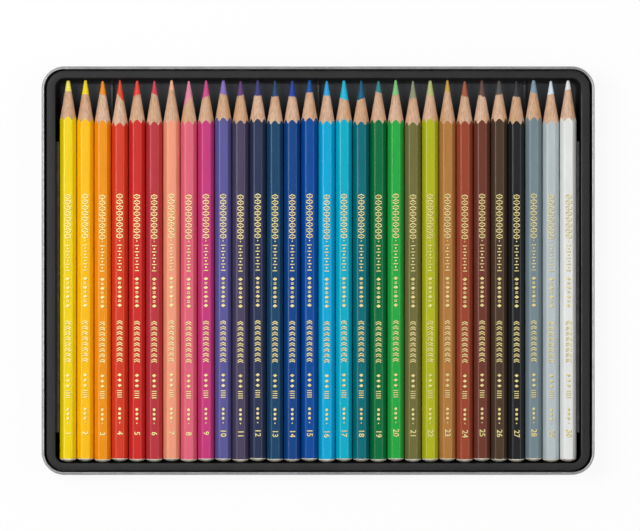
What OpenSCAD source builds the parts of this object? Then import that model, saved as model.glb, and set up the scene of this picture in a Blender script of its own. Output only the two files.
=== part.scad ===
// Flat tin of thirty coloured pencils, lying open on its upturned lid.
// X runs along the row of pencils, Y points to their tips and Z is up.
// The origin is the middle of the underside, where the lid lies on the table.

/* [Pencils] */
// Length of a pencil, from its point to the end of its cap
pencil_length = 175; // [150:0.5:190]
// Size across the flats of the hexagonal casing
pencil_flats = 6.9; // [6.5:0.1:8.5]
// Depth that is rounded off each corner of the hexagon
corner_trim = 0.16; // [0.05:0.01:0.3]
// Free space between the corners of two neighbours
pencil_gap = 0.26; // [0.2:0.01:1]
// Diameter of the coloured core
core_diameter = 3; // [2:0.1:4]
// Full angle of the sharpened point
point_angle = 19.3; // [16:0.1:26]
// Radius of the blunted tip
tip_radius = 0.55; // [0.3:0.05:0.9]
// Height of the domed end cap
cap_height = 1.4; // [0.8:0.1:2.5]
// Glue or lacquer line between the casing and its core or cap
glue_line = 0.03; // [0.02:0.01:0.06]
// Most that a pencil lies out of line, towards either end
lay_variation = 0.25; // [0:0.05:0.4]

/* [Tray] */
// Thickness of the formed plastic sheet
tray_sheet = 0.5; // [0.3:0.05:0.8]
// Height of the raised bed over the floor of the finger wells
bed_rise = 5; // [3:0.1:8]
// Length of the finger well under the points
tip_well = 29; // [20:0.5:40]
// Length of the finger well under the ends
end_well = 14; // [9:0.5:25]
// Free space from the points to the back wall
tip_gap = 1; // [0.6:0.1:3]
// Free space from the end caps to the front wall
end_gap = 0.5; // [0.5:0.1:3]
// Free space beside the first and the last pencil
side_gap = 0.3; // [0.3:0.05:1]
// Width of the ledge at each end of the row
ledge_width = 1.765; // [1:0.005:5]
// Depth of the ledge under the flange
ledge_drop = 3; // [0.6:0.1:5]
// Height of the flange over the pencils
flange_over = 0.4; // [0:0.1:2]
// Width of the flange at the left and right
flange_side = 3.8; // [2:0.05:8]
// Width of the flange at the front and back
flange_front = 3.25; // [2:0.05:8]
// Corner radius of the well, at the flange
well_corner = 4.3; // [3:0.1:5]
// How far the foot of the well's walls slopes inwards
wall_draft = 2.2; // [0.5:0.1:2.6]
// Depth under the bed at which that slope starts
foot_drop = 0.4; // [0.3:0.1:2]
// Height of the ridges between the pencils
ridge_height = 1.5; // [0.5:0.1:2.5]
// Free space between a ridge and the casings beside it
ridge_gap = 0.35; // [0.3:0.05:0.6]
// Height of the dividers in the tip well
divider_height = 3.2; // [1:0.1:4]
// Width of the dividers
divider_width = 1; // [0.6:0.1:1.5]
// Pencils that lie outside the first and the last divider
outer_group = 3; // [2:1:10]

/* [Tin] */
// Thickness of the tinplate
plate = 0.3; // [0.2:0.05:0.5]
// Free space at the front and back of the tray's flange
tray_gap = 0.75; // [0.4:0.05:2]
// Free space at the left and right of the tray's flange
tray_gap_side = 1.1; // [0.4:0.05:2]
// Height of the rim over the tray's flange
rim_over = 1.2; // [0.5:0.1:3]
// Thickness of the folded rim
hem_thickness = 0.8; // [0.7:0.05:1.2]
// Height of the folded rim
hem_height = 2; // [1.2:0.1:3]
// How far the stop bead stands out of the wall
bead_radius = 0.75; // [0.7:0.05:1.2]
// Corner radius over the stop bead
tin_corner = 10.5; // [9:0.1:11.5]
// Radius of the bottom edge
bottom_radius = 1.2; // [0.6:0.1:2]
// Width of the thumb notch in the stop bead
notch_width = 28; // [15:1:50]

/* [Lid] */
// Free space between the base's wall and the lid's skirt
lid_fit = 0.15; // [0.1:0.05:0.3]
// Free space between the skirt's edge and the stop bead
lid_stop_gap = 0.3; // [0.2:0.05:0.6]
// Height of the fold along the skirt's edge
lid_hem_height = 2; // [1.2:0.1:3]

/* [Hidden] */
$fn = 64;
over = 0.01; // how far a cutting shape runs past what it cuts
floor_lap = 1; // how far a pan's wall laps over its flat floor
lay_step = 137; // angle from one pencil's place to the next one's in lay()
side_slope = 60; // slope of the casing's lower side faces

// Names and colours of the pencils, from left to right
palette = [
  ["lemon_yellow", [0.95, 0.85, 0.10]],
  ["golden_yellow", [1.00, 0.75, 0.00]],
  ["orange", [0.95, 0.60, 0.10]],
  ["vermilion", [0.85, 0.25, 0.15]],
  ["scarlet", [0.80, 0.20, 0.20]],
  ["carmine", [0.75, 0.20, 0.25]],
  ["salmon", [0.95, 0.60, 0.50]],
  ["pink", [0.90, 0.40, 0.50]],
  ["magenta", [0.80, 0.25, 0.50]],
  ["violet", [0.35, 0.35, 0.60]],
  ["plum", [0.30, 0.25, 0.40]],
  ["navy", [0.20, 0.20, 0.35]],
  ["prussian_blue", [0.10, 0.25, 0.40]],
  ["ultramarine", [0.10, 0.25, 0.55]],
  ["blue", [0.00, 0.30, 0.60]],
  ["azure", [0.00, 0.65, 0.85]],
  ["turquoise", [0.00, 0.70, 0.75]],
  ["teal", [0.00, 0.45, 0.45]],
  ["dark_green", [0.00, 0.45, 0.25]],
  ["green", [0.15, 0.65, 0.25]],
  ["olive", [0.45, 0.40, 0.20]],
  ["lime", [0.70, 0.70, 0.10]],
  ["ochre", [0.70, 0.50, 0.25]],
  ["russet", [0.60, 0.30, 0.20]],
  ["red_brown", [0.45, 0.25, 0.20]],
  ["umber", [0.35, 0.30, 0.20]],
  ["black", [0.15, 0.15, 0.15]],
  ["grey", [0.45, 0.55, 0.55]],
  ["silver_grey", [0.70, 0.75, 0.75]],
  ["white", [0.90, 0.90, 0.90]]
];
cap_colour = [0.90, 0.88, 0.82];
plastic_colour = [0.22, 0.22, 0.23];
tinplate_colour = [0.75, 0.75, 0.74];

// Row of pencils
count = len(palette);
corner_reach = pencil_flats / sqrt(3) - corner_trim; // middle of a pencil to its rounded corner
pitch = 2 * corner_reach + pencil_gap;
point_slope = tan(point_angle / 2);
cone_apex = pencil_length - tip_radius + tip_radius / sin(point_angle / 2);
dome_radius = (corner_reach * corner_reach + cap_height * cap_height) / (2 * cap_height);

// Tray, as half sizes from the middle
bed_half = (count - 1) / 2 * pitch + corner_reach + side_gap;
well_half_x = bed_half + ledge_width;
well_half_y = (pencil_length + tip_gap + end_gap) / 2;
flange_half_x = well_half_x + flange_side;
flange_half_y = well_half_y + flange_front;
bed_back = well_half_y - tip_well;
bed_front = end_well - well_half_y;
bed_length = bed_back - bed_front;

// Tin, as half sizes from the middle
wall_half_x = flange_half_x + tray_gap_side + hem_thickness;
wall_half_y = flange_half_y + tray_gap + hem_thickness;
wall_corner = tin_corner - bead_radius;
flange_corner = wall_corner - hem_thickness - tray_gap;
skirt_half_x = wall_half_x + lid_fit + plate;
skirt_half_y = wall_half_y + lid_fit + plate;
skirt_corner = wall_corner + lid_fit + plate;

// Heights over the table
base_z = plate;
tray_z = base_z + plate;
well_floor_z = tray_z + tray_sheet;
bed_z = well_floor_z + bed_rise;
axis_z = bed_z + pencil_flats / 2;
flange_z = bed_z + pencil_flats + flange_over;
ledge_z = flange_z - ledge_drop;
foot_z = bed_z - foot_drop;
rim_z = flange_z + rim_over;
base_height = rim_z - base_z;
bead_z = base_z + base_height / 2;
lid_height = bead_z - bead_radius - lid_stop_gap;

function pencil_name(i) = str("pencil_", i < 9 ? "0" : "", i + 1, "_", palette[i][0]);

// The pencils lie a little out of line, each by its own share of lay_variation
function lay(i) = lay_variation * sin(lay_step * i);

module rounded_box(half_x, half_y, corner, height) {
  linear_extrude(height) {
    square([2 * half_x, 2 * (half_y - corner)], center = true);
    square([2 * (half_x - corner), 2 * half_y], center = true);
    for (sx = [-1, 1], sy = [-1, 1])
      translate([sx * (half_x - corner), sy * (half_y - corner)])
        circle(corner);
  }
}

// Carries a flat profile once round a rounded rectangle.
// The profile's x is measured from the middle of the corner arcs, its y upwards.
module carried_round(half_x, half_y, corner) {
  for (turn = [0 : 3])
    translate([(turn % 3 == 0 ? 1 : -1) * (half_x - corner), (turn < 2 ? 1 : -1) * (half_y - corner), 0])
      rotate(90 * turn)
        rotate_extrude(angle = 90)
          children();
  for (side = [0, 1])
    rotate(180 * side) {
      translate([0, half_y - corner, 0])
        rotate([90, 0, 90])
          linear_extrude(2 * (half_x - corner), center = true)
            children();
      translate([half_x - corner, 0, 0])
        rotate([90, 0, 0])
          linear_extrude(2 * (half_y - corner), center = true)
            children();
    }
}

// Wall of a pressed pan with its rounded bottom edge, outer face at the corner radius
module pan_wall(corner, height) {
  translate([corner - plate, bottom_radius])
    square([plate, height - bottom_radius]);
  intersection() {
    translate([corner - bottom_radius, bottom_radius])
      difference() {
        circle(bottom_radius);
        circle(bottom_radius - plate);
      }
    translate([corner - bottom_radius, 0])
      square(bottom_radius);
  }
  translate([corner - bottom_radius - floor_lap, 0])
    square([floor_lap, plate]);
}

// Flat floor of a pan, whose edge ends halfway under the wall's lap
module pan_floor(half_x, half_y, corner) {
  inset = bottom_radius + floor_lap / 2;
  rounded_box(half_x - inset, half_y - inset, corner - inset, plate);
}

// Lift-off lid, lying upturned under the base as a stand
module lid() {
  color(tinplate_colour) {
    pan_floor(skirt_half_x, skirt_half_y, skirt_corner);
    carried_round(skirt_half_x, skirt_half_y, skirt_corner) {
      pan_wall(skirt_corner, lid_height);
      translate([skirt_corner, lid_height - lid_hem_height])
        square([plate, lid_hem_height]);
    }
  }
}

// Folded rim: the wall's edge turned inwards and pressed flat
module rim_hem() {
  translate([wall_corner - hem_thickness, base_height - hem_height])
    square([hem_thickness, hem_height - hem_thickness / 2]);
  translate([wall_corner - hem_thickness / 2, base_height - hem_thickness / 2])
    circle(hem_thickness / 2);
}

// Half-round bead that stops the lid at half height
module stop_bead() {
  intersection() {
    translate([wall_corner, bead_z - base_z])
      circle(bead_radius);
    translate([wall_corner - plate / 2, bead_z - base_z - bead_radius])
      square([bead_radius + plate / 2, 2 * bead_radius]);
  }
}

module tin_base() {
  color(tinplate_colour)
    translate([0, 0, base_z])
      difference() {
        union() {
          pan_floor(wall_half_x, wall_half_y, wall_corner);
          carried_round(wall_half_x, wall_half_y, wall_corner) {
            pan_wall(wall_corner, base_height);
            rim_hem();
            stop_bead();
          }
        }
        thumb_notch();
      }
}

// The bead is left out here, so that a thumbnail gets under the lid's edge
module thumb_notch() {
  translate([-notch_width / 2, wall_half_y, bead_z - base_z - bead_radius - over])
    cube([notch_width, bead_radius + over, 2 * (bead_radius + over)]);
}

// Wall of the well: upright beside the pencils, then sloping in to the floor under them
module well_wall() {
  foot = well_corner - wall_draft;
  polygon([
    [foot, well_floor_z],
    [well_corner, foot_z],
    [well_corner, flange_z],
    [well_corner + tray_sheet, flange_z],
    [well_corner + tray_sheet, foot_z - tray_sheet / 2],
    [foot + tray_sheet, tray_z],
    [foot, tray_z]
  ]);
}

// The flange starts half a sheet into the top of the walls
module flange() {
  lap = tray_sheet / 2;
  translate([0, 0, flange_z - tray_sheet])
    difference() {
      rounded_box(flange_half_x, flange_half_y, flange_corner, tray_sheet);
      translate([0, 0, -over])
        rounded_box(well_half_x + lap, well_half_y + lap, well_corner + lap, tray_sheet + 2 * over);
    }
}

// The floor reaches half a sheet into the foot of the walls
module well_floor() {
  inset = wall_draft - tray_sheet / 2;
  translate([0, 0, tray_z])
    rounded_box(well_half_x - inset, well_half_y - inset, well_corner - inset, tray_sheet);
}

// One ridge between two casings, as wide as their sloping faces let it be
module ridge(level, length) {
  foot = pitch / 2 - pencil_flats / 2 / tan(side_slope) - ridge_gap;
  top = foot - ridge_height / tan(side_slope);
  rotate([90, 0, 0])
    linear_extrude(length, center = true)
      translate([0, level])
        polygon([[-foot, -over], [-foot, 0], [-top, ridge_height], [top, ridge_height], [foot, 0], [foot, -over]]);
}

module ridges(level, length) {
  for (i = [1 : count - 1])
    translate([(i - count / 2) * pitch, (bed_back + bed_front) / 2, 0])
      ridge(level, length);
}

// Raised bed, open underneath, with a ledge at each end of the row
module bed() {
  difference() {
    union() {
      translate([-bed_half, bed_front, bed_z - tray_sheet])
        cube([2 * bed_half, bed_length, tray_sheet]);
      ridges(bed_z, bed_length);
      bed_walls();
    }
    ridges(bed_z - tray_sheet, bed_length - 2 * tray_sheet);
  }
}

module bed_walls() {
  // front and back walls of the bed
  for (y = [bed_front, bed_back - tray_sheet])
    translate([-bed_half, y, tray_z])
      cube([2 * bed_half, tray_sheet, bed_rise + tray_sheet]);
  // side walls, and the ledges on top of them
  for (side = [0, 1])
    mirror([side, 0, 0]) {
      translate([bed_half, bed_front, bed_z - tray_sheet])
        cube([tray_sheet, bed_length, ledge_z - bed_z + tray_sheet]);
      translate([bed_half, bed_front, ledge_z - tray_sheet])
        cube([ledge_width + tray_sheet / 2, bed_length, tray_sheet]);
      for (y = [bed_front, bed_back - tray_sheet])
        translate([0, y + tray_sheet, 0])
          rotate([90, 0, 0])
            linear_extrude(tray_sheet)
              ledge_end();
    }
}

// Upright end under a ledge, as wide as the wall beside it lets it be
module ledge_end() {
  foot_x = max(bed_half, well_half_x - wall_draft);
  wall_middle = well_half_x + tray_sheet / 2;
  polygon([
    [bed_half, tray_z],
    [foot_x + tray_sheet, tray_z],
    [wall_middle, foot_z],
    [wall_middle, ledge_z],
    [bed_half, ledge_z]
  ]);
}

// Short upright dividers in the tip well, one between two pencils
module dividers() {
  for (after = [outer_group, count / 2, count - outer_group])
    translate([(after - count / 2) * pitch - divider_width / 2, bed_back - over, well_floor_z - over])
      cube([divider_width, tip_well - wall_draft + over, divider_height + over]);
}

// The sheet rises over the bed and its ledges, so nothing of the well lies below them
module under_bed() {
  translate([-flange_half_x, bed_front + tray_sheet, tray_z - over])
    cube([2 * flange_half_x, bed_length - 2 * tray_sheet, ledge_z - tray_sheet - tray_z + over]);
}

module tray() {
  color(plastic_colour) {
    flange();
    difference() {
      union() {
        carried_round(well_half_x, well_half_y, well_corner)
          well_wall();
        well_floor();
      }
      under_bed();
    }
    bed();
    dividers();
  }
}

// Outline of the sharpened point and of the bar behind it, from the axis outwards
module point_outline() {
  half_angle = point_angle / 2;
  bar = 2 * corner_reach;
  polygon([
    [0, 0],
    [bar, 0],
    [bar, cone_apex - bar / point_slope],
    [tip_radius * cos(half_angle), pencil_length - tip_radius + tip_radius * sin(half_angle)],
    [0, pencil_length - tip_radius + tip_radius * sin(half_angle)]
  ]);
  intersection() {
    translate([0, pencil_length - tip_radius])
      circle(tip_radius);
    translate([0, pencil_length - 2 * tip_radius])
      square(2 * tip_radius);
  }
}

module hexagon_bar(from_z, to_z) {
  translate([0, 0, from_z])
    linear_extrude(to_z - from_z)
      intersection() {
        circle(pencil_flats / sqrt(3), $fn = 6);
        circle(corner_reach);
      }
}

// Wooden casing, sharpened, with a bore for the core
module casing() {
  difference() {
    intersection() {
      hexagon_bar(cap_height + glue_line, pencil_length);
      rotate_extrude()
        point_outline();
    }
    cylinder(h = pencil_length, d = core_diameter + 2 * glue_line);
  }
}

module core() {
  intersection() {
    translate([0, 0, cap_height + glue_line])
      cylinder(h = pencil_length, d = core_diameter);
    rotate_extrude()
      point_outline();
  }
}

// Dipped end, domed over the casing and the core
module end_cap() {
  intersection() {
    hexagon_bar(0, cap_height);
    translate([0, 0, dome_radius])
      sphere(dome_radius);
  }
}

module pencil(i) {
  translate([(i - (count - 1) / 2) * pitch, end_gap - well_half_y + lay(i), axis_z])
    rotate([-90, 0, 0]) {
      color(palette[i][1]) {
        casing();
        core();
      }
      color(cap_colour)
        end_cap();
    }
}

lid();
tin_base();
tray();
for (i = [0 : count - 1])
  pencil(i);
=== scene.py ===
import math

import bpy
import numpy as np
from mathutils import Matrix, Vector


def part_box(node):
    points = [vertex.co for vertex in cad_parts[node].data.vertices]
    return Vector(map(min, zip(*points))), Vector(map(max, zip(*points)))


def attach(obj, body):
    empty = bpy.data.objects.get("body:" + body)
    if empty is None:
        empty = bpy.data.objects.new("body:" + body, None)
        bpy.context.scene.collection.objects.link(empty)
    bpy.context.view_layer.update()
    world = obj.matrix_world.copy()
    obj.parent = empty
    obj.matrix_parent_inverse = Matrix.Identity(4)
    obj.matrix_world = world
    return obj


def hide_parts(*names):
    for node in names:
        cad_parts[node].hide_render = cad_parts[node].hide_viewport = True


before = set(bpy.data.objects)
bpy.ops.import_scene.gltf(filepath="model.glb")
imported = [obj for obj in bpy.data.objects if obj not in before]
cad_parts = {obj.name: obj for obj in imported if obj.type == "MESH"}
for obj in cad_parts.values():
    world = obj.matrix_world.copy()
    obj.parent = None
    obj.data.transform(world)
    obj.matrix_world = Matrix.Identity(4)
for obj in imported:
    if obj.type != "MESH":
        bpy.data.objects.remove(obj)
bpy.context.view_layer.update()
mm = 0.001
print("frame loaded:", len(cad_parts), "nodes")


def makePiece(name, verts, faces, materials, faceMaterial=None, sharpRows=None, floats=None):
    # verts are in millimetres; faces are lists of corner numbers, faceMaterial one slot number each
    mesh = bpy.data.meshes.new(name)
    mesh.from_pydata((np.asarray(verts) * mm).tolist(), [], faces)
    for material in materials:
        mesh.materials.append(material)
    if faceMaterial is not None:
        mesh.polygons.foreach_set("material_index", np.asarray(faceMaterial, dtype=np.int32))
    mesh.polygons.foreach_set("use_smooth", np.ones(len(mesh.polygons), dtype=bool))
    if sharpRows is not None:
        # an edge is sharp where both its ends are in the same marked row
        ends = np.zeros(len(mesh.edges) * 2, dtype=np.int32)
        mesh.edges.foreach_get("vertices", ends)
        ends = ends.reshape(-1, 2)
        sharp = (sharpRows[ends[:, 0]] > 0) & (sharpRows[ends[:, 0]] == sharpRows[ends[:, 1]])
        mesh.edges.foreach_set("use_edge_sharp", sharp)
    for label, values in (floats or {}).items():
        layer = mesh.attributes.new(label, "FLOAT", "POINT")
        layer.data.foreach_set("value", np.asarray(values, dtype=np.float32))
    mesh.update()
    piece = bpy.data.objects.new(name, mesh)
    bpy.context.scene.collection.objects.link(piece)
    return piece


def gridFaces(rows, columns, closed):
    # Quads between neighbouring rows of a grid; closed joins the last column to the first
    row = np.arange(rows - 1)[:, None] * columns
    column = np.arange(columns if closed else columns - 1)[None, :]
    after = (column + 1) % columns
    below = row + columns
    quads = np.stack([row + column, below + column, below + after, row + after], axis=-1)
    return quads.reshape(-1, 4)


# A rounded rectangle is the sum of two parts: a core point that runs along the sides and
# waits at the corners, and the radius times an outward direction that turns at the corners.
def roundedPath(xs, ys, arcSteps):
    # Walks round from the front side; nan stands where the rectangle's size sets the core point
    turn = np.linspace(0, math.pi / 2, arcSteps + 1)
    # for each side: its points, the axis that they run along, and the side of the middle it is on
    sides = [(xs, 0, -1), (ys, 1, 1), (xs[::-1], 0, 1), (ys[::-1], 1, -1)]
    starts = [-math.pi / 2, 0, math.pi / 2, math.pi]
    corners = [(1, -1), (1, 1), (-1, 1), (-1, -1)]
    fixed = []
    signs = []
    angles = []
    for (points, axis, side), start, corner in zip(sides, starts, corners):
        straight = np.full((len(points), 2), np.nan)
        straight[:, axis] = points
        outward = np.zeros((len(points), 2))
        outward[:, 1 - axis] = side
        fixed += [straight, np.full((len(turn), 2), np.nan)]
        signs += [outward, np.tile(np.array(corner, float), (len(turn), 1))]
        angles += [np.full(len(points), start), start + turn]
    angle = np.concatenate(angles)
    return {
        "fixed": np.concatenate(fixed),
        "signs": np.concatenate(signs),
        "normal": np.stack([np.cos(angle), np.sin(angle)], axis=1),
    }


def ringAt(path, halfX, halfY, radius):
    # The path's points for one rounded rectangle; the sizes may differ from point to point
    radius = np.asarray(radius, float)
    core = np.stack([
        path["signs"][:, 0] * (halfX - radius),
        path["signs"][:, 1] * (halfY - radius),
    ], axis=1)
    core = np.where(np.isnan(path["fixed"]), core, path["fixed"])
    return core + path["normal"] * (radius[:, None] if radius.ndim else radius)


def addNode(tree, kind, inputs=None, **settings):
    node = tree.nodes.new("ShaderNode" + kind)
    for key, value in settings.items():
        setattr(node, key, value)
    for key, value in (inputs or {}).items():
        node.inputs[key].default_value = value
    return node


def wire(tree, source, output, target, socket):
    tree.links.new(source.outputs[output], target.inputs[socket])


def startGroup(name, inputs, outputs):
    group = bpy.data.node_groups.new(name, "ShaderNodeTree")
    for label, default in inputs.items():
        socket = group.interface.new_socket(label, in_out="INPUT", socket_type="NodeSocketFloat")
        socket.default_value = default
    for label in outputs:
        group.interface.new_socket(label, in_out="OUTPUT", socket_type="NodeSocketFloat")
    source = group.nodes.new("NodeGroupInput")
    target = group.nodes.new("NodeGroupOutput")
    return group, source, target


def placeGroup(tree, group, inputs):
    node = tree.nodes.new("ShaderNodeGroup")
    node.node_tree = group
    for key, value in inputs.items():
        node.inputs[key].default_value = value
    return node


def linear(red, green, blue):
    # From 0-255 screen values to the linear values that sockets take
    screen = np.array([red, green, blue]) / 255
    low = screen / 12.92
    high = ((screen + 0.055) / 1.055) ** 2.4
    value = np.where(screen <= 0.04045, low, high)
    return (float(value[0]), float(value[1]), float(value[2]), 1.0)


def multiply(tree, first, second):
    # first and second are (node, output) pairs, and so is what comes back
    product = addNode(tree, "Math", operation="MULTIPLY")
    wire(tree, *first, product, 0)
    wire(tree, *second, product, 1)
    return product, "Value"


def makeMistGroup():
    # Soft noise, stretched along Y where Along is smaller than Across
    group, source, target = startGroup("mist", {"Across": 1.0, "Along": 1.0, "Detail": 3.0}, ["Mask"])
    place = addNode(group, "TexCoord")
    size = addNode(group, "CombineXYZ")
    wire(group, source, "Across", size, "X")
    wire(group, source, "Along", size, "Y")
    wire(group, source, "Across", size, "Z")
    stretched = addNode(group, "Mapping")
    wire(group, place, "Object", stretched, "Vector")
    wire(group, size, "Vector", stretched, "Scale")
    noise = addNode(group, "TexNoise", {"Scale": 1.0, "Roughness": 0.6})
    wire(group, stretched, "Vector", noise, "Vector")
    wire(group, source, "Detail", noise, "Detail")
    wire(group, noise, "Fac", target, "Mask")
    return group


def makeScratchGroup():
    # Hairlines: the thin zero lines of a stretched noise, broken up by a coarser one
    group, source, target = startGroup(
        "hairlines", {"Scale": 60.0, "Stretch": 0.05, "Turn": 0.4, "Width": 0.012}, ["Mask"])
    place = addNode(group, "TexCoord")
    spin = addNode(group, "CombineXYZ")
    wire(group, source, "Turn", spin, "Z")
    turned = addNode(group, "Mapping")
    wire(group, place, "Object", turned, "Vector")
    wire(group, spin, "Vector", turned, "Rotation")
    size = addNode(group, "CombineXYZ", {"X": 1.0, "Z": 1.0})
    wire(group, source, "Stretch", size, "Y")
    stretched = addNode(group, "Mapping")
    wire(group, turned, "Vector", stretched, "Vector")
    wire(group, size, "Vector", stretched, "Scale")
    noise = addNode(group, "TexNoise", {"Detail": 2.0, "Roughness": 0.5})
    wire(group, stretched, "Vector", noise, "Vector")
    wire(group, source, "Scale", noise, "Scale")
    offset = addNode(group, "Math", {1: 0.5}, operation="SUBTRACT")
    wire(group, noise, "Fac", offset, 0)
    height = addNode(group, "Math", operation="ABSOLUTE")
    wire(group, offset, "Value", height, 0)
    line = addNode(group, "MapRange", {"From Min": 0.0, "To Min": 1.0, "To Max": 0.0})
    wire(group, height, "Value", line, "Value")
    wire(group, source, "Width", line, "From Max")
    patch = addNode(group, "TexNoise", {"Scale": 45.0, "Detail": 1.0})
    wire(group, place, "Object", patch, "Vector")
    patchRange = addNode(group, "MapRange", {"From Min": 0.5, "From Max": 0.62})
    wire(group, patch, "Fac", patchRange, "Value")
    both = multiply(group, (line, "Result"), (patchRange, "Result"))
    wire(group, *both, target, "Mask")
    return group


def makeDustGroup():
    # Specks that lie on faces that look up
    group, source, target = startGroup("dust", {"Scale": 900.0, "Size": 0.12, "Amount": 0.5}, ["Mask"])
    place = addNode(group, "TexCoord")
    cells = addNode(group, "TexVoronoi", feature="F1")
    wire(group, place, "Object", cells, "Vector")
    wire(group, source, "Scale", cells, "Scale")
    speck = addNode(group, "MapRange", {"From Min": 0.0, "To Min": 1.0, "To Max": 0.0})
    wire(group, cells, "Distance", speck, "Value")
    wire(group, source, "Size", speck, "From Max")
    few = addNode(group, "SeparateColor")
    wire(group, cells, "Color", few, "Color")
    chosen = addNode(group, "Math", operation="LESS_THAN")
    wire(group, few, "Red", chosen, 0)
    wire(group, source, "Amount", chosen, 1)
    facing = addNode(group, "NewGeometry")
    upward = addNode(group, "SeparateXYZ")
    wire(group, facing, "Normal", upward, "Vector")
    level = addNode(group, "MapRange", {"From Min": 0.6, "From Max": 0.95})
    wire(group, upward, "Z", level, "Value")
    chosenSpeck = multiply(group, (speck, "Result"), (chosen, "Value"))
    lying = multiply(group, chosenSpeck, (level, "Result"))
    wire(group, *lying, target, "Mask")
    return group


def makeRubAndHighlightGroup():
    # Rubbed edges, and on the tray and the pencils' corners painted highlight: the mesh's own
    # rub-and-highlight value, made patchy by a noise
    group, source, target = startGroup("rubAndHighlightEdge", {"Patches": 220.0, "Reach": 0.5}, ["Mask"])
    rubAndHighlight = addNode(group, "Attribute", attribute_name="rubAndHighlight")
    place = addNode(group, "TexCoord")
    noise = addNode(group, "TexNoise", {"Detail": 3.0, "Roughness": 0.65})
    wire(group, place, "Object", noise, "Vector")
    wire(group, source, "Patches", noise, "Scale")
    patchy = multiply(group, (rubAndHighlight, "Fac"), (noise, "Fac"))
    cut = addNode(group, "MapRange", {"From Max": 1.0})
    wire(group, *patchy, cut, "Value")
    wire(group, source, "Reach", cut, "From Min")
    wire(group, cut, "Result", target, "Mask")
    return group


mist = makeMistGroup()
hairlines = makeScratchGroup()
dust = makeDustGroup()
rubAndHighlightEdge = makeRubAndHighlightGroup()


def startMaterial(name, values):
    material = bpy.data.materials.new(name)
    material.use_nodes = True
    tree = material.node_tree
    shader = tree.nodes["Principled BSDF"]
    for key, value in values.items():
        shader.inputs[key].default_value = value
    return material, tree, shader


def mixColour(tree, factor, output, first, second):
    # first and second are colours, or (node, output) pairs
    mix = addNode(tree, "Mix", data_type="RGBA")
    wire(tree, factor, output, mix, 0)
    for socket, colour in ((6, first), (7, second)):
        if isinstance(colour[0], bpy.types.Node):
            wire(tree, *colour, mix, socket)
        else:
            mix.inputs[socket].default_value = colour
    return mix, 2


def setRange(tree, source, output, low, high, fromMin=0.0, fromMax=1.0):
    node = addNode(tree, "MapRange", {
        "From Min": fromMin, "From Max": fromMax, "To Min": low, "To Max": high})
    wire(tree, source, output, node, "Value")
    return node


def addBump(tree, shader, mask, strength, depth):
    # depth in millimetres
    bump = addNode(tree, "Bump", {"Strength": strength, "Distance": depth * mm})
    wire(tree, mask, "Mask", bump, "Height")
    wire(tree, bump, "Normal", shader, "Normal")


def addMist(tree, across, along, detail):
    return placeGroup(tree, mist, {"Across": across, "Along": along, "Detail": detail})


mistSpan = (0.3, 0.7)     # nearly all of a mist's values lie in here


def mottle(tree, cloud, first, second, span=mistSpan):
    # Two colours, shared out by a mist
    tone = setRange(tree, cloud, "Mask", 0.0, 1.0, *span)
    return mixColour(tree, tone, "Result", first, second)


def setRoughness(tree, shader, mask, low, high, span=mistSpan):
    rough = setRange(tree, mask, "Mask", low, high, *span)
    wire(tree, rough, "Result", shader, "Roughness")


def scaled(colour, factor):
    return (*(min(part * factor, 1.0) for part in colour[:3]), 1.0)


def makeTinplate():
    look = {
        "colour": linear(178, 179, 181), "dull": linear(150, 151, 153), "bright": linear(200, 200, 200),
    }
    material, tree, shader = startMaterial("tinplate", {"Metallic": 0.75, "Roughness": 0.4})
    base = mottle(tree, addMist(tree, 90.0, 90.0, 4.0), look["dull"], look["colour"])
    wearAndHighlight = placeGroup(tree, rubAndHighlightEdge, {"Patches": 400.0, "Reach": 0.35})
    edge = mixColour(tree, wearAndHighlight, "Mask", base, look["bright"])
    wire(tree, *edge, shader, "Base Color")
    setRoughness(tree, shader, addMist(tree, 2500.0, 2500.0, 2.0), 0.34, 0.5)
    lines = placeGroup(tree, hairlines, {"Scale": 300.0, "Stretch": 0.04, "Turn": 0.5, "Width": 0.01})
    addBump(tree, shader, lines, 0.15, 0.05)
    return material


def makeTrayPlastic():
    look = {
        # the lighter rubbed tone is painted highlight on the lip, the ledge's inner edge and the
        # dividers' tops
        "colour": linear(44, 44, 45), "deep": linear(37, 37, 38), "rubbedAndLit": linear(104, 104, 105),
        # the floor tone is painted sheen of the light from above on the wells' floor
        "dust": linear(150, 146, 140), "floor": linear(60, 62, 66),
    }
    material, tree, shader = startMaterial("trayPlastic", {
        "Roughness": 0.55, "Specular IOR Level": 0.22})
    cloud = addMist(tree, 60.0, 60.0, 5.0)
    grained = mottle(tree, cloud, look["deep"], look["colour"])
    # the wells' floor painted lighter, as sheen of the light from above
    wellFloorSheen = addNode(tree, "Attribute", attribute_name="wellFloorSheen")
    base = mixColour(tree, wellFloorSheen, "Fac", grained, look["floor"])
    # patchy painted highlight on the lip, the ledge's inner edge and the dividers' tops
    wearAndHighlight = placeGroup(tree, rubAndHighlightEdge, {"Patches": 260.0, "Reach": 0.2})
    edge = mixColour(tree, wearAndHighlight, "Mask", base, look["rubbedAndLit"])
    specks = placeGroup(tree, dust, {"Scale": 420.0, "Size": 0.07, "Amount": 0.12})
    dusty = mixColour(tree, specks, "Mask", edge, look["dust"])
    wire(tree, *dusty, shader, "Base Color")
    setRoughness(tree, shader, cloud, 0.5, 0.62)
    addBump(tree, shader, addMist(tree, 3200.0, 3200.0, 2.0), 0.35, 0.04)
    return material


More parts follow.
